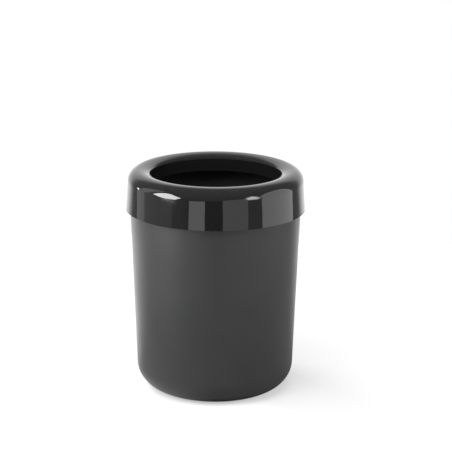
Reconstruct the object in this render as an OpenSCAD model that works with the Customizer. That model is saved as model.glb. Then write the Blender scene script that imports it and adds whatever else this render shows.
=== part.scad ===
// Counter-top holder in two mouldings: a tapered cup, and a rim ring that pushes onto the cup's neck.
// Millimetres, +Z up. The origin is the centre of the base, on the table.

/* [Cup] */
// Outside diameter at the top of the tapered side
cup_d = 123; // [100:0.5:160]
// Height of the rim that the ring rests on
cup_h = 151; // [100:1:220]
// Taper of the side, in degrees from upright
cup_draft = 2.1; // [0.5:0.1:4]
// Thickness of the side
cup_wall = 3; // [2.6:0.1:4.5]
// Thickness of the floor
cup_floor = 3.2; // [2:0.1:6]
// Radius of the rounded edge at the base
base_round = 18; // [8:0.5:28]
// Width of the foot ring that meets the table
foot_w = 4; // [2:0.5:10]
// Depth of the hollow inside the foot ring
foot_recess = 1; // [0.4:0.1:1.6]
// How far the neck steps in from the side
neck_step = 1; // [0.6:0.1:1.3]
// Rounding of the rim's two edges
rim_round = 0.5; // [0.2:0.05:0.6]

/* [Ring] */
// Depth of the skirt below the rim that carries the ring
skirt_drop = 17.5; // [10:0.5:30]
// How far the skirt hangs past the step of the neck
skirt_cover = 2; // [0.5:0.5:6]
// Gap between the cup's side and the inside of the skirt's lower edge
skirt_gap = 1.3; // [0.8:0.1:3]
// Inward lean of the skirt, in degrees from upright
skirt_draft = 4; // [1:0.5:5]
// Height of the crest above the rim that carries the ring
crest_rise = 11; // [8:0.5:16]
// Thickness of the ring's shell
ring_wall = 2.2; // [1.6:0.1:3]
// Radius of the shoulder between the skirt and the crest
shoulder_round = 8.4; // [5:0.2:10]
// Radius of the crown that falls from the crest to the mouth
crown_round = 16; // [10:0.5:30]
// Diameter of the mouth
mouth_d = 93.5; // [70:0.5:96]
// Radius under the lip where the crown turns down into the mouth
lip_round = 0.6; // [0.3:0.1:2]
// Depth of the mouth's collar below the rim that carries the ring
collar_drop = 2; // [0:0.5:8]

/* [Seat ribs] */
// Number of ribs under the ring
rib_count = 12; // [6:1:24]
// Thickness of a rib
rib_t = 1.6; // [1:0.1:2.4]
// How far a rib's ear reaches down beside the neck
ear_drop = 8; // [4:0.5:12]
// Gap all round between the neck and the ears
fit_gap = 0.3; // [0.1:0.05:0.5]

/* [Hidden] */
$fn = 96;

// Largest turn between two points of a round stretch, in degrees
arc_step = 6;

// Cup: the neck starts just above the skirt's lower edge, so the skirt hides its step
step_z = cup_h - skirt_drop + skirt_cover;
neck_r = cup_d / 2 - neck_step;
neck_in_r = cup_d / 2 - cup_wall / cos(cup_draft);
floor_z = foot_recess + cup_floor;
inside_round = base_round - cup_wall;
foot_r = corner_r(0, base_round, base_round);

// Ring: heights from the rim, radii from the cup's side outwards
skirt_z = cup_h - skirt_drop;
crest_z = cup_h + crest_rise;
collar_z = cup_h - collar_drop;
ring_r = cup_d / 2 + skirt_gap + ring_wall / cos(skirt_draft);
shoulder_z = crest_z - shoulder_round;
crest_r = skirt_r(shoulder_z, 0) - shoulder_round / cos(skirt_draft);
lip_r = lip_round + ring_wall;
lip_centre_r = mouth_d / 2 + lip_r;
crown_turn = asin((crest_r - lip_centre_r) / (crown_round - lip_r));
lip_centre_z = crest_z - crown_round + (crown_round - lip_r) * cos(crown_turn);

// Radius of the cup's side, or of its extension, at height z
function side_r(z) = cup_d / 2 - (step_z - z) * tan(cup_draft);

// Radius of the skirt's face at height z, set in by inset
function skirt_r(z, inset) = ring_r - (z - skirt_z) * tan(skirt_draft) - inset / cos(skirt_draft);

// Centre radius of a round at height cz that touches the side's face, set in by inset
function corner_r(inset, round, cz) = side_r(0) - (inset + round - cz * sin(cup_draft)) / cos(cup_draft);

// Points on a round stretch from angle a to angle b
function arc(centre, r, a, b) =
    let (steps = max(1, ceil(abs(b - a) / arc_step)))
    [for (i = [0:steps]) let (t = a + (b - a) * i / steps) centre + r * [cos(t), sin(t)]];

// A round stretch without its first point, to follow another that ends there
function arc_on(centre, r, a, b) =
    let (points = arc(centre, r, a, b))
    [for (i = [1:len(points) - 1]) points[i]];

function reversed(points) = [for (i = [len(points) - 1:-1:0]) points[i]];

// Section line of the ring, set in from its outer face by inset: up the skirt from height from_z,
// over the shoulder, crown and lip, and down the collar to height to_z
function ring_line(inset, from_z, to_z) = concat(
    [[skirt_r(from_z, inset), from_z]],
    arc([crest_r, shoulder_z], shoulder_round - inset, skirt_draft, 90),
    arc_on([crest_r, crest_z - crown_round], crown_round - inset, 90, 90 + crown_turn),
    arc_on([lip_centre_r, lip_centre_z], lip_r - inset, 90 + crown_turn, 180),
    [[mouth_d / 2 + inset, to_z]]
);

// Half section of the cup, from the middle of its underside round to the middle of its floor
module cup_section() {
    polygon(concat(
        [[0, foot_recess], [foot_r - foot_w, foot_recess], [foot_r - foot_w, 0]],
        arc([foot_r, base_round], base_round, -90, -cup_draft),
        [[cup_d / 2, step_z], [neck_r, step_z]],
        arc([neck_r - rim_round, cup_h - rim_round], rim_round, 0, 90),
        arc([neck_in_r + rim_round, cup_h - rim_round], rim_round, 90, 180),
        [[neck_in_r, step_z]],
        arc([corner_r(cup_wall, inside_round, floor_z + inside_round), floor_z + inside_round],
            inside_round, -cup_draft, -90),
        [[0, floor_z]]
    ));
}

// Tapered cup with a rounded base, a foot ring and a stepped neck
module cup() {
    color("dimgray") rotate_extrude() cup_section();
}

// Half section of the ring's shell
module ring_section() {
    polygon(concat(ring_line(0, skirt_z, collar_z), reversed(ring_line(ring_wall, skirt_z, collar_z))));
}

// Rib from the collar to the skirt: it rests on the cup's rim, and its ear centres the ring on the neck
module seat_rib() {
    ear_r = neck_r + fit_gap;
    ear_z = cup_h - ear_drop;
    lead_in = skirt_r(ear_z, ring_wall) - ear_r;
    rotate([90, 0, 0]) linear_extrude(rib_t, center = true) polygon(concat(
        ring_line(ring_wall / 2, ear_z, cup_h),
        [[ear_r, cup_h], [ear_r, ear_z + lead_in], [ear_r + lead_in, ear_z]]
    ));
}

// Push-on ring with a drafted skirt, a rolled mouth and seat ribs underneath
module rim_ring() {
    color("black") {
        rotate_extrude() ring_section();
        for (i = [0:rib_count - 1]) rotate(i * 360 / rib_count) seat_rib();
    }
}

cup();
rim_ring();
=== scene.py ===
"""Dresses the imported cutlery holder: a matte moulded cup, a polished rim ring, and a pale studio."""
import math

import bpy
import bmesh
from bpy.props import FloatProperty, FloatVectorProperty, IntProperty, PointerProperty
from bpy.types import Operator, Panel, PropertyGroup
from mathutils import Matrix, Vector


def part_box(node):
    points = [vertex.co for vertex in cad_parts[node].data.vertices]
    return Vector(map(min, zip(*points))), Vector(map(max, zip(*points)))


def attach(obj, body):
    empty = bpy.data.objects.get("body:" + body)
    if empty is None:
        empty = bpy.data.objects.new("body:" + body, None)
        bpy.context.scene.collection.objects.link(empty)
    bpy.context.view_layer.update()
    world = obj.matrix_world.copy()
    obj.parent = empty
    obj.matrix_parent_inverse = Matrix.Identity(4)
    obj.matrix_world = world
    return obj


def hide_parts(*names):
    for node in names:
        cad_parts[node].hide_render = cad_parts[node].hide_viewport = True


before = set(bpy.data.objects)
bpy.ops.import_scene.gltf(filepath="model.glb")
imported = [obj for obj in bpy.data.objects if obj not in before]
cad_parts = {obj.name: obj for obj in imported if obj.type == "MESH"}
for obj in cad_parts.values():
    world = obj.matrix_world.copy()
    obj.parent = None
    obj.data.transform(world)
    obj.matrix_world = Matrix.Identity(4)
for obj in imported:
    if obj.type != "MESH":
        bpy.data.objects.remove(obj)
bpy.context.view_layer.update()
CUP_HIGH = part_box("cup")[1]
RING_LOW, RING_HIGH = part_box("rim_ring")

bl_info = {
    "name": "Cutlery holder",
    "version": (1, 0, 0),
    "blender": (4, 5, 0),
    "location": "3D View > Sidebar > Holder",
    "description": "Builds a matte cup with a push-on polished rim ring, and a pale studio to show them in",
    "category": "Add Mesh",
}

MM = 0.001

# Largest turn between two points of a round stretch of a section, in degrees
ARC_STEP = 4.0
# Longest stretch of a section without a point, and how close to its ends a straight stretch gets a point
LONG_STEP = 5.0 * MM
END_STEP = 0.35 * MM
# Points closer than this are one point of a section, and corners closer than this one corner of a shell
SAME_POINT = 1e-7
SAME_CORNER = 1e-6
# Edges that turn more than this stay sharp where ribs join a shell
CREASE = math.radians(35)
# Faces round a turned shell, and ribs under the ring
SEGMENTS = 192
RIBS = 12

# Gate mark and shallow step under the base: the mark's radius and slope, the height of mark and step, how
# far out the step lies as a share of the hollow, and the rounding of their edges
GATE_RADIUS = 2.6 * MM
GATE_SLOPE = 0.2 * MM
UNDER_STEP = 0.35 * MM
UNDER_SHARE = 0.62
UNDER_ROUND = 0.15 * MM
# Slope and rounding of the foot ring's inner edge
FOOT_SLOPE = 0.4 * MM
FOOT_ROUND = 0.3 * MM
# Rounding of the neck's step at its edge and root
STEP_EDGE = 0.3 * MM
STEP_ROOT = 0.25 * MM
# How far below the step the upright inside of the neck turns into the taper, and the radius of that turn
INSIDE_DROP = 1.0 * MM
INSIDE_BEND = 20.0 * MM

# Noise levels between which rubbed patches and fine streaks fade in, and those that waves and smears keep to
RUB_FADE = (0.48, 0.72)
STREAK_FADE = (0.60, 0.74)
WAVE_SPREAD = (0.25, 0.75)
SMEAR_SPREAD = (0.3, 0.7)
# Scale of the smears as a share of that of the rubbed patches
SMEAR_SHARE = 0.12
# Least and most roughness of each finish, and what rubbing and streaks add to it
MATTE_ROUGHNESS = (0.37, 0.43)
MATTE_RUB = -0.10
MATTE_STREAK = -0.03
POLISH_ROUGHNESS = (0.025, 0.05)
POLISH_STREAK = 0.05
# How much the matte colour varies, and the most that dust covers of the polish
MATTE_SHADES = (0.94, 1.06)
DUST_SHARE = 0.35
PLASTIC_IOR = 1.5

# The photograph's width in pixels and the sensor's in millimetres, which turn a focal length into a lens
PHOTO_WIDTH = 452
SENSOR = 36.0
# Heights that the lights and the studio cards are aimed at
LIGHT_AIM = 80.0 * MM
CARD_AIM = 145.0 * MM
# Distance of a card in metres, and the share of the way to its middle over which its edge fades
CARD_DISTANCE = 0.6
CARD_EDGE = 0.01
# Radius of the mirror that a card's reach is worked out on, and the degrees over which the reach fades
MIRROR_RADIUS = 60.0 * MM
REACH_FADE = 8
# Outlines of the cards, as azimuths and elevations in degrees seen from the ring
KEY_CARD = [(-85, -4), (-80, -6.3), (-49, -5.8), (-43, 4), (-43, 8.5), (-57, 25), (-63, 27), (-68, 25.5),
            (-76, 14)]
SPOT_CARD = [(-112.5, -2), (-110, -2), (-110, 2), (-112.5, 2)]
LEFT_CARD = [(-110, -13), (-94, -13), (-98, -8), (-99, 3), (-106, 5.5), (-115, -9)]
LEFT_HIGH_CARD = [(-99, -7), (-90, 0), (-85, 10.5), (-71, 28), (-72, 38), (-84, 36), (-96, 28), (-108, 8)]
LEFT_WIDE_CARD = [(-97, -13), (-53, -13), (-53, -5), (-60, 0), (-84, 9), (-98, -2)]
FRONT_LEFT_CARD = [(-31.5, -13), (-12.5, -13), (-12.5, -3), (-31.5, -4.5)]
FRONT_RIGHT_CARD = [(8.5, -13), (40, -13), (38.5, 10), (9.5, 3)]
LAMP_CARD = [(33, 7), (38, 19), (47, 27), (55, 17), (59, 2), (54, -5.5), (35, -4)]
RIGHT_CARD = [(57, -13), (110, -13), (112, -9.5), (106, 7), (99.5, 25), (94, 32), (86, 33.5), (70, 30),
              (57, 18.5)]

# Floor: the ways behind the holder and to its lit side, and the shares of those ways and of the way left,
# or the distances from the axis in metres, between which each effect fades in
BACK_WAY = (-0.20, 0.98, 0.0)
BACK_FADE = (0.40, 0.92)
# The way left and the distances from the axis after it place the painted light by the foot that gloss sees
LEFT_FADE = (0.0, -0.6)
FOOT_FADE = (0.11, 0.065)
PLAIN_FADE = (0.28, 0.55)
# The lit side's way and shares place the painted light that whitens the floor there for the camera
LIT_WAY = (-0.6, -0.8, 0.0)
LIT_FADE = (0.15, 0.65)
PAINTED_SHADE_LIGHT_FADE = (0.0425, 0.050)
# Painted shade: how far below none the camera's added white dips on the lit side, where the floor meets the
# foot
CONTACT_SHADE = -0.1

# World as gloss sees it: levels of the low front, of the room, of its sides and of the white sheet behind,
# the sheet's from low to high, and the shares of the view along Y or Z between which they fade in
LOW_LEVEL = 0.10
ROOM_LEVEL = 0.31
SIDE_LEVEL = 0.34
SHEET_LEVELS = (1.75, 1.15)
ROOM_RISE = (-0.10, 0.08)
SIDE_FADE = (-0.95, -0.70)
SHEET_RISE = (-0.20, 0.25)
SHEET_FADE = (0.60, 0.83)


# Settings that a user would change


def length_setting(name, description, default, low, high):
    """A length, given in millimetres."""
    return FloatProperty(name=name, description=description, default=default * MM, min=low * MM,
                         max=high * MM, subtype="DISTANCE", unit="LENGTH")


def angle_setting(name, description, default, low, high):
    """An angle, given in degrees."""
    return FloatProperty(name=name, description=description, default=math.radians(default),
                         min=math.radians(low), max=math.radians(high), subtype="ANGLE")


def count_setting(name, description, default, low, high):
    """A whole number."""
    return IntProperty(name=name, description=description, default=default, min=low, max=high)


def colour_setting(name, description, default):
    """A colour."""
    return FloatVectorProperty(name=name, description=description, default=default, min=0.0, max=1.0, size=3,
                               subtype="COLOR")


def level_setting(name, description, default):
    """A brightness, where 1 is white."""
    return FloatProperty(name=name, description=description, default=default, min=0.0, max=4.0)


def power_setting(name, description, default):
    """The power of a light, in watts."""
    return FloatProperty(name=name, description=description, default=default, min=0.0, unit="POWER")


class CupSettings(PropertyGroup):
    """Sizes and colours of the cup."""

    draft: angle_setting("Taper", "Lean of the side from upright", 2.1, 0, 6)
    wall: length_setting("Wall", "Thickness of the side", 3.0, 1.0, 6.0)
    floor: length_setting("Floor", "Thickness of the floor", 3.2, 1.0, 8.0)
    base_round: length_setting("Base rounding", "Radius of the rounded edge at the base", 18.0, 6.0, 30.0)
    foot_width: length_setting("Foot width", "Width of the foot ring that meets the table", 4.0, 1.0, 12.0)
    foot_recess: length_setting("Foot recess", "Depth of the hollow inside the foot ring", 1.0, 0.4, 2.0)
    neck_step: length_setting("Neck step", "How far the neck steps in from the side", 1.0, 0.4, 2.0)
    neck_height: length_setting("Neck height", "Height of the neck that the ring hides", 15.5, 5.0, 30.0)
    edge_round: length_setting("Edge rounding", "Rounding of the rim's two edges", 0.5, 0.1, 1.0)
    segments: count_setting("Segments", "Faces round the cup", SEGMENTS, 48, 256)
    colour: colour_setting("Colour", "Colour of the matte plastic", (0.027, 0.027, 0.028))
    rubbed_colour: colour_setting("Rubbed colour", "Colour where the base is rubbed", (0.062, 0.062, 0.063))


class RingSettings(PropertyGroup):
    """Sizes and colours of the rim ring."""

    skirt_draft: angle_setting("Skirt lean", "Inward lean of the skirt from upright", 4.0, 0, 8)
    wall: length_setting("Wall", "Thickness of the ring's shell", 2.2, 1.0, 4.0)
    shoulder_round: length_setting("Shoulder rounding", "Radius from the skirt to the crest", 8.4, 4.0, 12.0)
    crown_round: length_setting("Crown rounding", "Radius from the crest down to the mouth", 16.0, 8.0, 30.0)
    mouth: length_setting("Mouth", "Diameter of the mouth", 93.5, 60.0, 100.0)
    lip_round: length_setting("Lip rounding", "Radius under the lip, where the crown ends", 0.6, 0.2, 3.0)
    collar_drop: length_setting("Collar drop", "Depth of the collar below the cup's rim", 2.0, 0.0, 10.0)
    edge_round: length_setting("Edge rounding", "Rounding of the skirt's and collar's edges", 0.2, 0.1, 1.0)
    rib_count: count_setting("Ribs", "Number of seat ribs under the ring", RIBS, 3, 36)
    rib_width: length_setting("Rib width", "Thickness of a seat rib", 1.6, 0.8, 4.0)
    ear_drop: length_setting("Ear drop", "How far a rib's ear reaches down beside the neck", 8.0, 2.0, 15.0)
    fit_gap: length_setting("Fit gap", "Gap between the neck and the ears", 0.3, 0.0, 1.0)
    segments: count_setting("Segments", "Faces round the ring", SEGMENTS, 48, 256)
    colour: colour_setting("Colour", "Colour of the polished plastic", (0.0085, 0.0085, 0.0090))
    dust_colour: colour_setting("Dust colour", "Colour of the fine dust on the polish", (0.030, 0.030, 0.030))


class StageSettings(PropertyGroup):
    """Camera, floor and light."""

    distance: length_setting("Camera distance", "From the camera to where it looks", 1200, 300, 5000)
    elevation: angle_setting("Camera elevation", "How far the camera looks down", 15.61, 0, 80)
    roll: angle_setting("Camera roll", "How far the camera is turned about its view", 0.39, -5, 5)
    focal: FloatProperty(name="Focal length", description="Focal length in pixels of the photograph",
                         default=1656.0, min=200.0, max=5000.0)
    look_side: length_setting("Look aside", "How far beside the axis the camera looks", 7.6, -100, 100)
    look_height: length_setting("Look height", "Height that the camera looks at", 119.4, 0, 500)
    floor_radius: length_setting("Floor radius", "Reach of the pale floor from its middle", 700, 300, 3000)
    floor_shift: length_setting("Floor shift", "How far its middle lies before the holder", 300, 0, 1000)
    floor_colour: colour_setting("Floor colour", "Colour of the pale floor", (0.38, 0.38, 0.38))
    floor_lift: level_setting("Floor lift", "White added to the floor near the holder for the camera", 0.53)
    # Painted light: white that the camera sees added on the floor's lit side
    floor_painted_light: level_setting("Floor clear", "White added for the camera on the floor's lit side", 0.16)
    back_gleam: level_setting("Back gleam", "White added to the floor behind, as gloss sees it", 2.2)
    # Painted light: white on the floor close to the foot's left, where the foot shades it, as gloss sees it
    foot_painted_light: level_setting("Foot gleam", "White added left of the foot, as gloss sees the floor", 0.4)
    ambient: level_setting("Ambient", "Even light from all sides", 0.25)
    key: power_setting("Key", "Power of the soft light from the left", 6.5)
    top: power_setting("Top", "Power of the high soft light behind the holder", 11.0)
    front: power_setting("Front", "Power of the high soft light before the holder", 5.5)
    fill: power_setting("Fill", "Power of the soft light from the right", 4.0)


# Node trees


def add_node(tree, kind, inputs=None, **settings):
    """Adds a node, sets its properties, then sets or links its inputs, which are given by name or number."""
    made = tree.nodes.new(kind)
    for key, value in settings.items():
        setattr(made, key, value)
    for key, value in (inputs or {}).items():
        if isinstance(value, bpy.types.NodeSocket):
            tree.links.new(value, made.inputs[key])
        else:
            made.inputs[key].default_value = value
    return made


def maths(tree, operation, *values):
    """The result of one sum."""
    return add_node(tree, "ShaderNodeMath", dict(enumerate(values)), operation=operation).outputs[0]


def measured(tree, operation, *vectors):
    """A number taken from vectors, such as a length or a dot product."""
    return add_node(tree, "ShaderNodeVectorMath", dict(enumerate(vectors)),
                    operation=operation).outputs["Value"]


def ramp(tree, value, low, high, start=0.0, end=1.0, smooth=False):
    """A value that goes from start to end while the given one goes from low to high."""
    inputs = {"Value": value, "From Min": low, "From Max": high, "To Min": start, "To Max": end}
    shape = "SMOOTHSTEP" if smooth else "LINEAR"
    return add_node(tree, "ShaderNodeMapRange", inputs, interpolation_type=shape).outputs[0]


def mixed_values(tree, factor, first, second):
    """A mix of two numbers, which are the Mix node's inputs 2 and 3."""
    return add_node(tree, "ShaderNodeMix", {"Factor": factor, 2: first, 3: second},
                    data_type="FLOAT").outputs[0]


def mixed_colours(tree, factor, first, second, blend="MIX"):
    """A mix of two colours, which are the Mix node's inputs 6 and 7."""
    return add_node(tree, "ShaderNodeMix", {"Factor": factor, 6: first, 7: second}, data_type="RGBA",
                    blend_type=blend).outputs[2]


def noise(tree, vector, scale, detail, roughness, distortion=0.0):
    """The value of a noise texture."""
    inputs = {"Vector": vector, "Scale": scale, "Detail": detail, "Roughness": roughness,
              "Distortion": distortion}
    return add_node(tree, "ShaderNodeTexNoise", inputs).outputs["Fac"]


def new_group(name, kind, inputs, outputs):
    """Makes a node group with named sockets, and returns it with its inside ends."""
    tree = bpy.data.node_groups.new(name, kind)
    for label, socket_type, default in inputs:
        socket = tree.interface.new_socket(label, in_out="INPUT", socket_type=socket_type)
        if default is not None:
            socket.default_value = default
    for label, socket_type in outputs:
        tree.interface.new_socket(label, in_out="OUTPUT", socket_type=socket_type)
    return tree, tree.nodes.new("NodeGroupInput").outputs, tree.nodes.new("NodeGroupOutput").inputs


def turned_tree():
    """Turns a section, a row of points in the XZ plane, round the Z axis into a closed smooth shell."""
    tree, given, result = new_group(
        "Turned moulding", "GeometryNodeTree",
        [("Section", "NodeSocketGeometry", None), ("Segments", "NodeSocketInt", SEGMENTS),
         ("Material", "NodeSocketMaterial", None)],
        [("Geometry", "NodeSocketGeometry")])
    count = add_node(tree, "GeometryNodeAttributeDomainSize", {"Geometry": given["Section"]},
                     component="MESH").outputs["Point Count"]
    columns = add_node(tree, "FunctionNodeIntegerMath", {0: given["Segments"], 1: 1}, operation="ADD")
    grid = add_node(tree, "GeometryNodeMeshGrid", {"Vertices X": columns.outputs[0], "Vertices Y": count})
    index = add_node(tree, "GeometryNodeInputIndex").outputs[0]
    row = add_node(tree, "FunctionNodeIntegerMath", {0: index, 1: count}, operation="MODULO")
    column = add_node(tree, "FunctionNodeIntegerMath", {0: index, 1: count}, operation="DIVIDE_FLOOR")
    place = add_node(tree, "GeometryNodeInputPosition").outputs[0]
    point = add_node(tree, "GeometryNodeSampleIndex", {"Geometry": given["Section"], "Value": place,
                                                      "Index": row.outputs[0]}, data_type="FLOAT_VECTOR")
    share = maths(tree, "DIVIDE", column.outputs[0], given["Segments"])
    turn = maths(tree, "MULTIPLY", share, math.tau)
    placed = add_node(tree, "ShaderNodeVectorRotate", {"Vector": point.outputs[0], "Angle": turn},
                      rotation_type="Z_AXIS")
    shell = add_node(tree, "GeometryNodeSetPosition", {"Geometry": grid.outputs["Mesh"],
                                                      "Position": placed.outputs[0]})
    closed = add_node(tree, "GeometryNodeMergeByDistance", {"Geometry": shell.outputs[0],
                                                           "Distance": SAME_CORNER})
    smooth = add_node(tree, "GeometryNodeSetShadeSmooth", {"Geometry": closed.outputs[0],
                                                          "Shade Smooth": True})
    real = add_node(tree, "GeometryNodeRealizeInstances", {"Geometry": smooth.outputs[0]})
    finished = add_node(tree, "GeometryNodeSetMaterial", {"Geometry": real.outputs[0],
                                                         "Material": given["Material"]})
    tree.links.new(finished.outputs[0], result["Geometry"])
    return tree


def ribbed_tree(turned):
    """Turns a section and joins a number of ribs to it, evenly spaced round the axis."""
    tree, given, result = new_group(
        "Ribbed moulding", "GeometryNodeTree",
        [("Section", "NodeSocketGeometry", None), ("Segments", "NodeSocketInt", SEGMENTS),
         ("Rib", "NodeSocketObject", None), ("Ribs", "NodeSocketInt", RIBS),
         ("Crease", "NodeSocketFloat", CREASE), ("Material", "NodeSocketMaterial", None)],
        [("Geometry", "NodeSocketGeometry")])
    shell = add_node(tree, "GeometryNodeGroup", {"Section": given["Section"], "Segments": given["Segments"]},
                     node_tree=turned)
    rib = add_node(tree, "GeometryNodeObjectInfo", {"Object": given["Rib"]})
    index = add_node(tree, "GeometryNodeInputIndex").outputs[0]
    turn = maths(tree, "MULTIPLY", index, maths(tree, "DIVIDE", math.tau, given["Ribs"]))
    around = add_node(tree, "ShaderNodeCombineXYZ", {"Z": turn})
    row = add_node(tree, "GeometryNodeMeshLine", {"Count": given["Ribs"], "Offset": (0.0, 0.0, 0.0)})
    ribs = add_node(tree, "GeometryNodeInstanceOnPoints", {"Points": row.outputs[0],
                                                          "Instance": rib.outputs["Geometry"],
                                                          "Rotation": around.outputs[0]})
    real = add_node(tree, "GeometryNodeRealizeInstances", {"Geometry": ribs.outputs[0]})
    joined = add_node(tree, "GeometryNodeMeshBoolean", {"Mesh 2": shell.outputs[0]}, operation="UNION",
                      solver="MANIFOLD")
    tree.links.new(real.outputs[0], joined.inputs["Mesh 2"])
    smooth = add_node(tree, "GeometryNodeSetShadeSmooth", {"Geometry": joined.outputs["Mesh"],
                                                          "Shade Smooth": True})
    angle = add_node(tree, "GeometryNodeInputMeshEdgeAngle").outputs["Unsigned Angle"]
    sharp = add_node(tree, "FunctionNodeCompare", {0: angle, 1: given["Crease"]}, data_type="FLOAT",
                     operation="GREATER_THAN")
    creased = add_node(tree, "GeometryNodeSetShadeSmooth", {"Geometry": smooth.outputs[0],
                                                           "Selection": sharp.outputs[0],
                                                           "Shade Smooth": False}, domain="EDGE")
    whole = add_node(tree, "GeometryNodeRealizeInstances", {"Geometry": creased.outputs[0]})
    finished = add_node(tree, "GeometryNodeSetMaterial", {"Geometry": whole.outputs[0],
                                                         "Material": given["Material"]})
    tree.links.new(finished.outputs[0], result["Geometry"])
    return tree


def made_mesh(piece, tree, values):
    """Runs a tree on a piece with the named values, and keeps the result as the piece's plain mesh."""
    modifier = piece.modifiers.new(tree.name, "NODES")
    modifier.node_group = tree
    for item in tree.interface.items_tree:
        if item.in_out == "INPUT" and item.name in values:
            modifier[item.identifier] = values[item.name]
    bpy.context.view_layer.update()
    evaluated = piece.evaluated_get(bpy.context.evaluated_depsgraph_get())
    mesh = bpy.data.meshes.new_from_object(evaluated)
    piece.modifiers.clear()
    section = piece.data
    piece.data = mesh
    mesh.name = piece.name
    bpy.data.meshes.remove(section)
    check = bmesh.new()
    check.from_mesh(mesh)
    open_edges = sum(not edge.is_manifold for edge in check.edges)
    volume = check.calc_volume(signed=True)
    check.free()
    if open_edges or volume <= 0:
        raise RuntimeError(f"{piece.name} has {open_edges} open edges and a volume of {volume} m3")


# Section lines, as lists of (radius, height) in metres


def arc(centre, radius, start, end):
    """Points on a round stretch from one angle to another, in radians."""
    steps = max(2, math.ceil(abs(end - start) / math.radians(ARC_STEP)))
    angles = [start + (end - start) * i / steps for i in range(steps + 1)]
    return [Vector((centre[0] + radius * math.cos(a), centre[1] + radius * math.sin(a))) for a in angles]


def rounded(corners):
    """A line through corners, each a (radius, height) and the rounding there; its two ends are left alone."""
    line = [Vector(corners[0][0])]
    for (before, _), (corner, round_r), (after, _) in zip(corners, corners[1:], corners[2:]):
        corner = Vector(corner)
        back = (Vector(before) - corner).normalized()
        ahead = (Vector(after) - corner).normalized()
        half = back.angle(ahead) / 2
        centre = corner + (back + ahead).normalized() * round_r / math.sin(half)
        start = corner + back * round_r / math.tan(half) - centre
        turn = math.copysign(math.pi - 2 * half, back.cross(ahead) * -1)
        begin = math.atan2(start.y, start.x)
        line += arc(centre, round_r, begin, begin + turn)
    return line + [Vector(corners[-1][0])]


def chained(*stretches):
    """Joins stretches into one line without doubled points, and adds points along its long straight parts."""
    joined = []
    for point in (p for stretch in stretches for p in stretch):
        if not joined or (point - joined[-1]).length > SAME_POINT:
            joined.append(point)
    line = [joined[0]]
    for a, b in zip(joined, joined[1:]):
        length = (b - a).length
        if length > 4 * END_STEP:
            parts = math.ceil((length - 2 * END_STEP) / LONG_STEP)
            stops = [END_STEP + (length - 2 * END_STEP) * i / parts for i in range(parts + 1)]
            line += [a.lerp(b, stop / length) for stop in stops]
        line.append(b)
    return line


def section_piece(name, line):
    """Makes an object whose mesh is the section's row of points in the XZ plane."""
    mesh = bpy.data.meshes.new(name)
    mesh.from_pydata([(p.x, 0.0, p.y) for p in line], [(i, i + 1) for i in range(len(line) - 1)], [])
    piece = bpy.data.objects.new(name, mesh)
    bpy.context.scene.collection.objects.link(piece)
    return piece


def cup_section(cup):
    """Half section of the cup, from the middle of its underside round to the middle of its floor."""
    top_r, rim_z = CUP_HIGH.x, CUP_HIGH.z
    step_z = rim_z - cup.neck_height
    lean, slant = math.tan(cup.draft), math.cos(cup.draft)
    neck_r = top_r - cup.neck_step
    inside_r = top_r - cup.wall / slant
    floor_z = cup.foot_recess + cup.floor
    hollow_round = cup.base_round - cup.wall

    def corner_r(inset, round_r, z):
        """Centre radius of a round at height z that touches the side's face, set in by inset."""
        return top_r - step_z * lean - (inset + round_r - z * math.sin(cup.draft)) / slant

    foot_r = corner_r(0.0, cup.base_round, cup.base_round)
    foot_in = foot_r - cup.foot_width
    gate_z, ceiling_z = cup.foot_recess - UNDER_STEP, cup.foot_recess + UNDER_STEP
    ceiling_r = UNDER_SHARE * foot_in
    under = rounded([
        ((0.0, gate_z), 0.0), ((GATE_RADIUS, gate_z), UNDER_ROUND),
        ((GATE_RADIUS + GATE_SLOPE, ceiling_z), UNDER_ROUND), ((ceiling_r, ceiling_z), UNDER_ROUND),
        ((ceiling_r + UNDER_STEP, cup.foot_recess), UNDER_ROUND),
        ((foot_in - FOOT_SLOPE, cup.foot_recess), FOOT_ROUND), ((foot_in, 0.0), FOOT_ROUND),
        ((foot_r, 0.0), 0.0)])
    base = arc((foot_r, cup.base_round), cup.base_round, -math.pi / 2, -cup.draft)
    hollow_z = floor_z + hollow_round
    hollow_r = corner_r(cup.wall, hollow_round, hollow_z)
    hollow = arc((hollow_r, hollow_z), hollow_round, -cup.draft, -math.pi / 2)
    side = rounded([
        (base[-1], 0.0), ((top_r, step_z), STEP_EDGE), ((neck_r, step_z), STEP_ROOT),
        ((neck_r, rim_z), cup.edge_round), ((inside_r, rim_z), cup.edge_round),
        ((inside_r, step_z - INSIDE_DROP), INSIDE_BEND), (hollow[0], 0.0)])
    return chained(under, base, side, hollow, [Vector((0.0, floor_z))])


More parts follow.
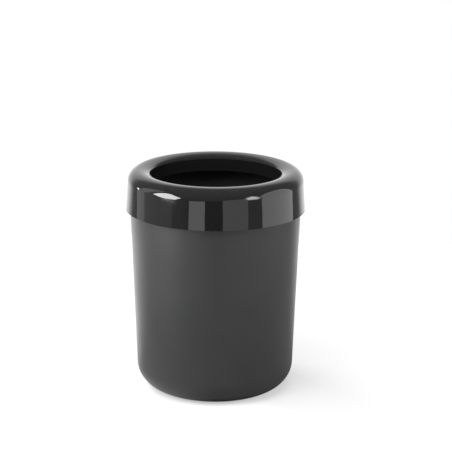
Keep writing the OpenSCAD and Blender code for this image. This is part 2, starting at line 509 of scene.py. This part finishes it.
class RingShape:
    """Derived sizes of the rim ring, and its section lines."""

    def __init__(self, ring, cup):
        self.ring = ring
        self.neck_r = CUP_HIGH.x - cup.neck_step
        self.skirt_z, self.crest_z = RING_LOW.z, RING_HIGH.z
        self.rim_z = CUP_HIGH.z
        self.collar_z = self.rim_z - ring.collar_drop
        self.shoulder_z = self.crest_z - ring.shoulder_round
        self.crest_r = self.skirt_r(self.shoulder_z, 0.0) - ring.shoulder_round / math.cos(ring.skirt_draft)
        self.lip_r = ring.lip_round + ring.wall
        self.lip_centre_r = ring.mouth / 2 + self.lip_r
        crown = ring.crown_round - self.lip_r
        self.crown_turn = math.asin((self.crest_r - self.lip_centre_r) / crown)
        self.lip_centre_z = self.crest_z - ring.crown_round + crown * math.cos(self.crown_turn)

    def skirt_r(self, z, inset):
        """Radius of the skirt's face at height z, set in by inset."""
        lean = self.ring.skirt_draft
        return RING_HIGH.x - (z - self.skirt_z) * math.tan(lean) - inset / math.cos(lean)

    def over(self, inset):
        """The line over the shoulder, crown and lip, set in from the outer face by inset."""
        quarter, turned = math.pi / 2, math.pi / 2 + self.crown_turn
        shoulder = arc((self.crest_r, self.shoulder_z), self.ring.shoulder_round - inset,
                       self.ring.skirt_draft, quarter)
        crown = arc((self.crest_r, self.crest_z - self.ring.crown_round), self.ring.crown_round - inset,
                    quarter, turned)
        lip = arc((self.lip_centre_r, self.lip_centre_z), self.lip_r - inset, turned, math.pi)
        return shoulder + crown + lip

    def section(self):
        """Closed section of the shell, from the middle of the skirt's lower edge and back to it."""
        ring, edge = self.ring, self.ring.edge_round
        outside, inside = self.over(0.0), self.over(ring.wall)[::-1]
        mouth_r = ring.mouth / 2
        low_out, low_in = self.skirt_r(self.skirt_z, 0.0), self.skirt_r(self.skirt_z, ring.wall)
        middle = ((low_out + low_in) / 2, self.skirt_z)
        rise = rounded([(middle, 0.0), ((low_out, self.skirt_z), edge), (outside[0], 0.0)])
        collar = rounded([(outside[-1], 0.0), ((mouth_r, self.collar_z), edge),
                          ((mouth_r + ring.wall, self.collar_z), edge), (inside[0], 0.0)])
        fall = rounded([(inside[-1], 0.0), ((low_in, self.skirt_z), edge), (middle, 0.0)])
        return chained(rise, outside, collar, inside, fall)

    def rib_outline(self):
        """Outline of a rib: along the middle of the shell, then back along the cup's rim and down its ear."""
        ring = self.ring
        ear_r = self.neck_r + ring.fit_gap
        ear_z = self.rim_z - ring.ear_drop
        lead_in = self.skirt_r(ear_z, ring.wall) - ear_r
        inset = ring.wall / 2
        return ([Vector((self.skirt_r(ear_z, inset), ear_z))] + self.over(inset)
                + [Vector((ring.mouth / 2 + inset, self.rim_z)), Vector((ear_r, self.rim_z)),
                   Vector((ear_r, ear_z + lead_in)), Vector((ear_r + lead_in, ear_z))])


def rib_object(shape, width):
    """Makes one rib as a flat closed slab across the XZ plane, to be repeated round the ring."""
    outline = shape.rib_outline()
    points = [p for p, q in zip(outline, outline[1:] + outline[:1]) if (p - q).length > SAME_POINT]
    made = bmesh.new()
    front = made.faces.new([made.verts.new((p.x, -width / 2, p.y)) for p in points])
    moved = bmesh.ops.extrude_face_region(made, geom=[front])["geom"]
    bmesh.ops.translate(made, vec=(0.0, width, 0.0),
                        verts=[item for item in moved if isinstance(item, bmesh.types.BMVert)])
    bmesh.ops.triangulate(made, faces=[face for face in made.faces if len(face.verts) > 4])
    bmesh.ops.recalc_face_normals(made, faces=made.faces[:])
    mesh = bpy.data.meshes.new("seat_rib")
    made.to_mesh(mesh)
    made.free()
    return bpy.data.objects.new("seat_rib", mesh)


# Finishes


def grain_group():
    """Moulded surface: a fine even grain, and the slow unevenness of a moulding as it shrinks."""
    tree, given, result = new_group(
        "Moulded surface", "ShaderNodeTree",
        [("Vector", "NodeSocketVector", None), ("Grain Scale", "NodeSocketFloat", 1500.0),
         ("Wave Scale", "NodeSocketFloat", 60.0)],
        [("Grain", "NodeSocketFloat"), ("Wave", "NodeSocketFloat")])
    cells = add_node(tree, "ShaderNodeTexVoronoi", {"Vector": given["Vector"], "Scale": given["Grain Scale"]},
                     feature="SMOOTH_F1").outputs["Distance"]
    fine = noise(tree, given["Vector"], given["Grain Scale"], detail=3.0, roughness=0.6)
    wave = noise(tree, given["Vector"], given["Wave Scale"], detail=1.5, roughness=0.45)
    tree.links.new(mixed_values(tree, 0.5, cells, fine), result["Grain"])
    tree.links.new(wave, result["Wave"])
    return tree


def handling_group():
    """Marks of use: rubbing in a band of height, soft smears, and fine streaks along the mapped vector."""
    tree, given, result = new_group(
        "Handling marks", "ShaderNodeTree",
        [("Vector", "NodeSocketVector", None), ("Streak Vector", "NodeSocketVector", None),
         ("Band Height", "NodeSocketFloat", 0.0), ("Band Reach", "NodeSocketFloat", 0.01),
         ("Mark Scale", "NodeSocketFloat", 200.0)],
        [("Rub", "NodeSocketFloat"), ("Smear", "NodeSocketFloat"), ("Streaks", "NodeSocketFloat")])
    height = add_node(tree, "ShaderNodeSeparateXYZ", {0: given["Vector"]}).outputs["Z"]
    away = maths(tree, "ABSOLUTE", maths(tree, "SUBTRACT", height, given["Band Height"]))
    band = ramp(tree, maths(tree, "DIVIDE", away, given["Band Reach"]), 1.0, 0.0, smooth=True)
    patches = noise(tree, given["Vector"], given["Mark Scale"], detail=5.0, roughness=0.65)
    worn = ramp(tree, patches, *RUB_FADE, smooth=True)
    wide = maths(tree, "MULTIPLY", given["Mark Scale"], SMEAR_SHARE)
    smear = noise(tree, given["Vector"], wide, detail=3.0, roughness=0.5, distortion=0.6)
    lines = noise(tree, given["Streak Vector"], 1.0, detail=2.0, roughness=0.6)
    tree.links.new(maths(tree, "MULTIPLY", band, worn), result["Rub"])
    tree.links.new(smear, result["Smear"])
    tree.links.new(ramp(tree, lines, *STREAK_FADE, smooth=True), result["Streaks"])
    return tree


def new_material(name, viewport_colour):
    """An empty node material, with its tree, and the object's own coordinates in it."""
    material = bpy.data.materials.new(name)
    material.use_nodes = True
    material.diffuse_color = (*viewport_colour, 1.0)
    tree = material.node_tree
    tree.nodes.clear()
    return material, tree, add_node(tree, "ShaderNodeTexCoord").outputs["Object"]


def shared_group(name, make):
    """The node group of that name, made if the file has none yet."""
    return bpy.data.node_groups.get(name) or make()


def moulded(tree, place, grain_scale, wave_scale):
    """The moulded surface's outputs."""
    inputs = {"Vector": place, "Grain Scale": grain_scale, "Wave Scale": wave_scale}
    group = shared_group("Moulded surface", grain_group)
    return add_node(tree, "ShaderNodeGroup", inputs, node_tree=group).outputs


def handled(tree, place, streak_scale, band_height, band_reach, mark_scale):
    """The handling marks' outputs, with streaks along the axes of the lowest scale."""
    streaks = add_node(tree, "ShaderNodeMapping", {"Vector": place, "Scale": streak_scale}).outputs[0]
    inputs = {"Vector": place, "Streak Vector": streaks, "Band Height": band_height, "Band Reach": band_reach,
              "Mark Scale": mark_scale}
    group = shared_group("Handling marks", handling_group)
    return add_node(tree, "ShaderNodeGroup", inputs, node_tree=group).outputs


def end_in_plastic(tree, colour, roughness, height, strength, depth):
    """Ends a material in plastic of a colour and roughness, with a bump of a height, strength and depth."""
    bump = add_node(tree, "ShaderNodeBump", {"Strength": strength, "Distance": depth, "Height": height})
    shader = add_node(tree, "ShaderNodeBsdfPrincipled", {"Base Color": colour, "Roughness": roughness,
                                                        "IOR": PLASTIC_IOR, "Normal": bump.outputs[0]})
    add_node(tree, "ShaderNodeOutputMaterial", {"Surface": shader.outputs[0]})


def matte_black(cup):
    """Black plastic with a fine matte moulded grain, a little rubbed round the base."""
    material, tree, place = new_material("matte_black_plastic", cup.colour)
    surface = moulded(tree, place, grain_scale=1700.0, wave_scale=45.0)
    marks = handled(tree, place, streak_scale=(700.0, 700.0, 18.0), band_height=0.0, band_reach=5.0 * MM,
                    mark_scale=260.0)
    shade = ramp(tree, surface["Wave"], *WAVE_SPREAD, *MATTE_SHADES)
    tint = mixed_colours(tree, 1.0, (*cup.colour, 1.0), shade, blend="MULTIPLY")
    rubbed = mixed_colours(tree, marks["Rub"], tint, (*cup.rubbed_colour, 1.0))
    rough = ramp(tree, marks["Smear"], *SMEAR_SPREAD, *MATTE_ROUGHNESS)
    polished = maths(tree, "MULTIPLY_ADD", marks["Rub"], MATTE_RUB, rough)
    streaked = maths(tree, "MULTIPLY_ADD", marks["Streaks"], MATTE_STREAK, polished)
    end_in_plastic(tree, rubbed, streaked, surface["Grain"], strength=0.35, depth=0.12 * MM)
    return material


def polished_black(ring):
    """Polished black plastic with the slight waves of a moulding, fine wiping lines and a trace of dust."""
    material, tree, place = new_material("polished_black_plastic", ring.colour)
    surface = moulded(tree, place, grain_scale=900.0, wave_scale=55.0)
    marks = handled(tree, place, streak_scale=(26.0, 26.0, 1500.0), band_height=RING_HIGH.z,
                    band_reach=7.0 * MM, mark_scale=420.0)
    dusted = maths(tree, "MULTIPLY", marks["Rub"], DUST_SHARE)
    tint = mixed_colours(tree, dusted, (*ring.colour, 1.0), (*ring.dust_colour, 1.0))
    rough = ramp(tree, marks["Smear"], *SMEAR_SPREAD, *POLISH_ROUGHNESS)
    streaked = maths(tree, "MULTIPLY_ADD", marks["Streaks"], POLISH_STREAK, rough)
    end_in_plastic(tree, tint, streaked, surface["Wave"], strength=0.25, depth=0.4 * MM)
    return material


# Stage


def towards(azimuth, elevation):
    """Unit vector to a place round the holder: azimuth 0 is the camera's side, and it grows to the right."""
    a, e = math.radians(azimuth), math.radians(elevation)
    return Vector((math.sin(a) * math.cos(e), -math.cos(a) * math.cos(e), math.sin(e)))


def facing(place, target):
    """Matrix of something at a place whose local Z axis points away from the target."""
    return Matrix.Translation(place) @ (place - target).to_track_quat("Z", "Y").to_matrix().to_4x4()


def soft_light(name, power, azimuth, elevation, distance, size):
    """Square soft light aimed at the holder. Mirrored light comes from the cards, so gloss doesn't see it."""
    light = bpy.data.lights.new(name, "AREA")
    light.size = size
    light.energy = power
    made = bpy.data.objects.new(name, light)
    aim = Vector((0.0, 0.0, LIGHT_AIM))
    made.matrix_world = facing(aim + towards(azimuth, elevation) * distance, aim)
    made.visible_glossy = False
    bpy.context.scene.collection.objects.link(made)


def studio_card(name, corners, radiance, distance=CARD_DISTANCE, soft=CARD_EDGE, reach=None):
    """Glowing card that only gloss sees. Its corners are azimuths and elevations in degrees, seen from the
    ring; soft is the share of the way to its middle over which the glow fades in. A card with a reach, in
    degrees, is mirrored only where the ring turns no further than that from it, so the ring's outline stays
    clear."""
    aim = Vector((0.0, 0.0, CARD_AIM))
    rim = [aim + towards(azimuth, elevation) * distance for azimuth, elevation in corners]
    count = len(rim)
    middle = sum(rim, Vector()) / count
    points = rim + [point.lerp(middle, soft) for point in rim]
    border = [(i, (i + 1) % count, count + (i + 1) % count, count + i) for i in range(count)]
    mesh = bpy.data.meshes.new(name)
    mesh.from_pydata(points, [], border + [tuple(range(count, 2 * count))])
    glow = mesh.attributes.new("glow", "FLOAT", "POINT")
    glow.data.foreach_set("value", [0.0] * count + [1.0] * count)
    material, tree, place = new_material(name, (1.0, 1.0, 1.0))
    share = add_node(tree, "ShaderNodeAttribute", attribute_name="glow").outputs["Fac"]
    level = maths(tree, "MULTIPLY", share, radiance)
    if reach is not None:
        length = add_node(tree, "ShaderNodeLightPath").outputs["Ray Length"]
        nearer = maths(tree, "SUBTRACT", measured(tree, "DISTANCE", place, aim), length)
        full = MIRROR_RADIUS * math.cos(math.radians(reach))
        none = MIRROR_RADIUS * math.cos(math.radians(reach + REACH_FADE))
        level = maths(tree, "MULTIPLY", level, ramp(tree, nearer, none, full))
    shown = maths(tree, "MAXIMUM", level, ROOM_LEVEL)
    emission = add_node(tree, "ShaderNodeEmission", {"Strength": shown})
    add_node(tree, "ShaderNodeOutputMaterial", {"Surface": emission.outputs[0]})
    mesh.materials.append(material)
    card = bpy.data.objects.new(name, mesh)
    bpy.context.scene.collection.objects.link(card)
    for rays in ("camera", "diffuse", "transmission", "volume_scatter", "shadow"):
        setattr(card, f"visible_{rays}", False)


def pale_floor(stage):
    """Round pale floor that keeps the holder's shadow, and that the camera sees as white elsewhere."""
    made = bmesh.new()
    bmesh.ops.create_circle(made, cap_ends=True, cap_tris=False, segments=96, radius=stage.floor_radius,
                            matrix=Matrix.Translation((0.0, -stage.floor_shift, 0.0)))
    mesh = bpy.data.meshes.new("floor")
    made.to_mesh(mesh)
    made.free()
    floor = bpy.data.objects.new("floor", mesh)
    bpy.context.scene.collection.objects.link(floor)
    material, tree, place = new_material("pale_floor", stage.floor_colour)
    path = add_node(tree, "ShaderNodeLightPath").outputs
    outward = add_node(tree, "ShaderNodeVectorMath", {0: place}, operation="NORMALIZE").outputs[0]
    reach = measured(tree, "LENGTH", place)

    behind = measured(tree, "DOT_PRODUCT", outward, BACK_WAY)
    gleam = ramp(tree, behind, *BACK_FADE, 0.0, stage.back_gleam)
    beside = add_node(tree, "ShaderNodeSeparateXYZ", {0: outward}).outputs["X"]
    # Painted light for gloss on the floor close to the foot's left, where the foot shades it
    left = ramp(tree, beside, *LEFT_FADE, 0.0, stage.foot_painted_light)
    gleam = maths(tree, "MULTIPLY_ADD", left, ramp(tree, reach, *FOOT_FADE), gleam)
    mirrored = maths(tree, "MULTIPLY", path["Is Glossy Ray"], gleam)

    plain = ramp(tree, reach, *PLAIN_FADE, stage.floor_lift, 1.0)
    # Painted light on the floor's lit side for the camera, with a thin painted shade where the floor meets
    # the foot
    lit_side = ramp(tree, measured(tree, "DOT_PRODUCT", outward, LIT_WAY), *LIT_FADE)
    clear = ramp(tree, reach, *PAINTED_SHADE_LIGHT_FADE, CONTACT_SHADE, stage.floor_painted_light)
    seen = maths(tree, "MULTIPLY_ADD", lit_side, clear, plain)
    lift = maths(tree, "MULTIPLY_ADD", path["Is Camera Ray"], seen, mirrored)

    lit = add_node(tree, "ShaderNodeBsdfDiffuse", {"Color": (*stage.floor_colour, 1.0)})
    white = add_node(tree, "ShaderNodeEmission", {"Strength": lift})
    both = add_node(tree, "ShaderNodeAddShader", {0: lit.outputs[0], 1: white.outputs[0]})
    add_node(tree, "ShaderNodeOutputMaterial", {"Surface": both.outputs[0]})
    mesh.materials.append(material)


def studio_world(stage):
    """White behind the holder for the camera and gloss, a dark room in front for gloss, and even light."""
    world = bpy.data.worlds.new("studio")
    bpy.context.scene.world = world
    world.use_nodes = True
    tree = world.node_tree
    tree.nodes.clear()
    path = add_node(tree, "ShaderNodeLightPath").outputs
    way = add_node(tree, "ShaderNodeTexCoord").outputs["Generated"]
    axes = add_node(tree, "ShaderNodeSeparateXYZ", {0: way}).outputs
    above = ramp(tree, axes["Z"], *ROOM_RISE, LOW_LEVEL, ROOM_LEVEL)
    sides = ramp(tree, axes["Y"], *SIDE_FADE, LOW_LEVEL, SIDE_LEVEL)
    room = maths(tree, "MAXIMUM", above, sides)
    sheet = ramp(tree, axes["Z"], *SHEET_RISE, *SHEET_LEVELS)
    mirrored = mixed_values(tree, ramp(tree, axes["Y"], *SHEET_FADE, smooth=True), room, sheet)
    indirect = mixed_values(tree, path["Is Glossy Ray"], stage.ambient, mirrored)
    direct = maths(tree, "MAXIMUM", path["Is Camera Ray"], path["Is Transmission Ray"])
    level = mixed_values(tree, direct, indirect, 1.0)
    shade = add_node(tree, "ShaderNodeBackground", {"Color": (1.0, 1.0, 1.0, 1.0), "Strength": level})
    add_node(tree, "ShaderNodeOutputWorld", {"Surface": shade.outputs[0]})


def photo_camera(stage):
    """Camera at the photograph's viewing angle."""
    data = bpy.data.cameras.new("camera")
    data.sensor_fit = "HORIZONTAL"
    data.sensor_width = SENSOR
    data.lens = stage.focal * SENSOR / PHOTO_WIDTH
    data.clip_start = 0.01
    camera = bpy.data.objects.new("camera", data)
    back = Vector((0.0, -math.cos(stage.elevation), math.sin(stage.elevation)))
    up = Vector((0.0, math.sin(stage.elevation), math.cos(stage.elevation)))
    side = Vector((1.0, 0.0, 0.0))
    cos, sin = math.cos(stage.roll), math.sin(stage.roll)
    side, up = cos * side + sin * up, cos * up - sin * side
    eye = Vector((stage.look_side, 0.0, stage.look_height)) + back * stage.distance
    camera.matrix_world = Matrix.Translation(eye) @ Matrix((side, up, back)).transposed().to_4x4()
    bpy.context.scene.collection.objects.link(camera)
    bpy.context.scene.camera = camera


# Operators


class HOLDER_OT_cup(Operator):
    """Build the tapered cup with its rounded base, foot ring and neck"""

    bl_idname = "holder.cup"
    bl_label = "Cup"

    def execute(self, context):
        cup = context.scene.holder_cup
        piece = section_piece("cup_moulding", cup_section(cup))
        made_mesh(piece, shared_group("Turned moulding", turned_tree),
                  {"Segments": cup.segments, "Material": matte_black(cup)})
        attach(piece, "cup")
        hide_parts("cup")
        return {"FINISHED"}


class HOLDER_OT_rim_ring(Operator):
    """Build the push-on rim ring with its rolled mouth and seat ribs"""

    bl_idname = "holder.rim_ring"
    bl_label = "Rim ring"

    def execute(self, context):
        ring = context.scene.holder_ring
        shape = RingShape(ring, context.scene.holder_cup)
        piece = section_piece("ring_moulding", shape.section())
        rib = rib_object(shape, ring.rib_width)
        made_mesh(piece, ribbed_tree(shared_group("Turned moulding", turned_tree)),
                  {"Segments": ring.segments, "Rib": rib, "Ribs": ring.rib_count, "Crease": CREASE,
                   "Material": polished_black(ring)})
        bpy.data.objects.remove(rib)
        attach(piece, "ring")
        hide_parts("rim_ring")
        return {"FINISHED"}


class HOLDER_OT_stage(Operator):
    """Set up the camera, the pale floor and the studio light"""

    bl_idname = "holder.stage"
    bl_label = "Stage"

    def execute(self, context):
        stage = context.scene.holder_stage
        photo_camera(stage)
        pale_floor(stage)
        studio_world(stage)
        soft_light("key_light", stage.key, azimuth=-62, elevation=38, distance=1.1, size=0.9)
        soft_light("top_light", stage.top, azimuth=-128, elevation=48, distance=1.2, size=0.6)
        soft_light("front_light", stage.front, azimuth=-10, elevation=62, distance=0.75, size=0.6)
        soft_light("fill_light", stage.fill, azimuth=80, elevation=25, distance=1.1, size=0.9)
        studio_card("card_key", KEY_CARD, radiance=16.0, reach=55)
        studio_card("card_spot", SPOT_CARD, radiance=40.0, distance=0.59, reach=64)
        studio_card("card_left", LEFT_CARD, radiance=1.2, reach=64)
        studio_card("card_left_high", LEFT_HIGH_CARD, radiance=1.5, distance=0.61, soft=0.2, reach=64)
        studio_card("card_left_wide", LEFT_WIDE_CARD, radiance=0.64, distance=0.62)
        studio_card("card_front_left", FRONT_LEFT_CARD, radiance=1.9, reach=40)
        studio_card("card_front_right", FRONT_RIGHT_CARD, radiance=1.12, reach=40)
        studio_card("card_lamp", LAMP_CARD, radiance=10.5, soft=0.55, reach=48)
        studio_card("card_right", RIGHT_CARD, radiance=2.25, soft=0.06, reach=64)
        return {"FINISHED"}


class HOLDER_PT_panel(Panel):
    """Lists the holder's pieces and settings"""

    bl_idname = "HOLDER_PT_panel"
    bl_label = "Cutlery holder"
    bl_space_type = "VIEW_3D"
    bl_region_type = "UI"
    bl_category = "Holder"

    def draw(self, context):
        scene = context.scene
        for operator, settings in ((HOLDER_OT_cup, scene.holder_cup), (HOLDER_OT_rim_ring, scene.holder_ring),
                                   (HOLDER_OT_stage, scene.holder_stage)):
            box = self.layout.box()
            box.operator(operator.bl_idname)
            for name in settings.__annotations__:
                box.prop(settings, name)


CLASSES = (CupSettings, RingSettings, StageSettings, HOLDER_OT_cup, HOLDER_OT_rim_ring, HOLDER_OT_stage,
           HOLDER_PT_panel)


def register():
    """Adds the classes, and their settings to the scene."""
    for cls in CLASSES:
        bpy.utils.register_class(cls)
    bpy.types.Scene.holder_cup = PointerProperty(type=CupSettings)
    bpy.types.Scene.holder_ring = PointerProperty(type=RingSettings)
    bpy.types.Scene.holder_stage = PointerProperty(type=StageSettings)


def unregister():
    """Takes the settings and the classes out again."""
    del bpy.types.Scene.holder_cup
    del bpy.types.Scene.holder_ring
    del bpy.types.Scene.holder_stage
    for cls in reversed(CLASSES):
        bpy.utils.unregister_class(cls)


def main():
    """Builds the pieces and the stage."""
    register()
    bpy.context.scene.view_settings.view_transform = "Standard"
    bpy.ops.holder.cup()
    bpy.ops.holder.rim_ring()
    bpy.ops.holder.stage()


if __name__ == "__main__":
    main()
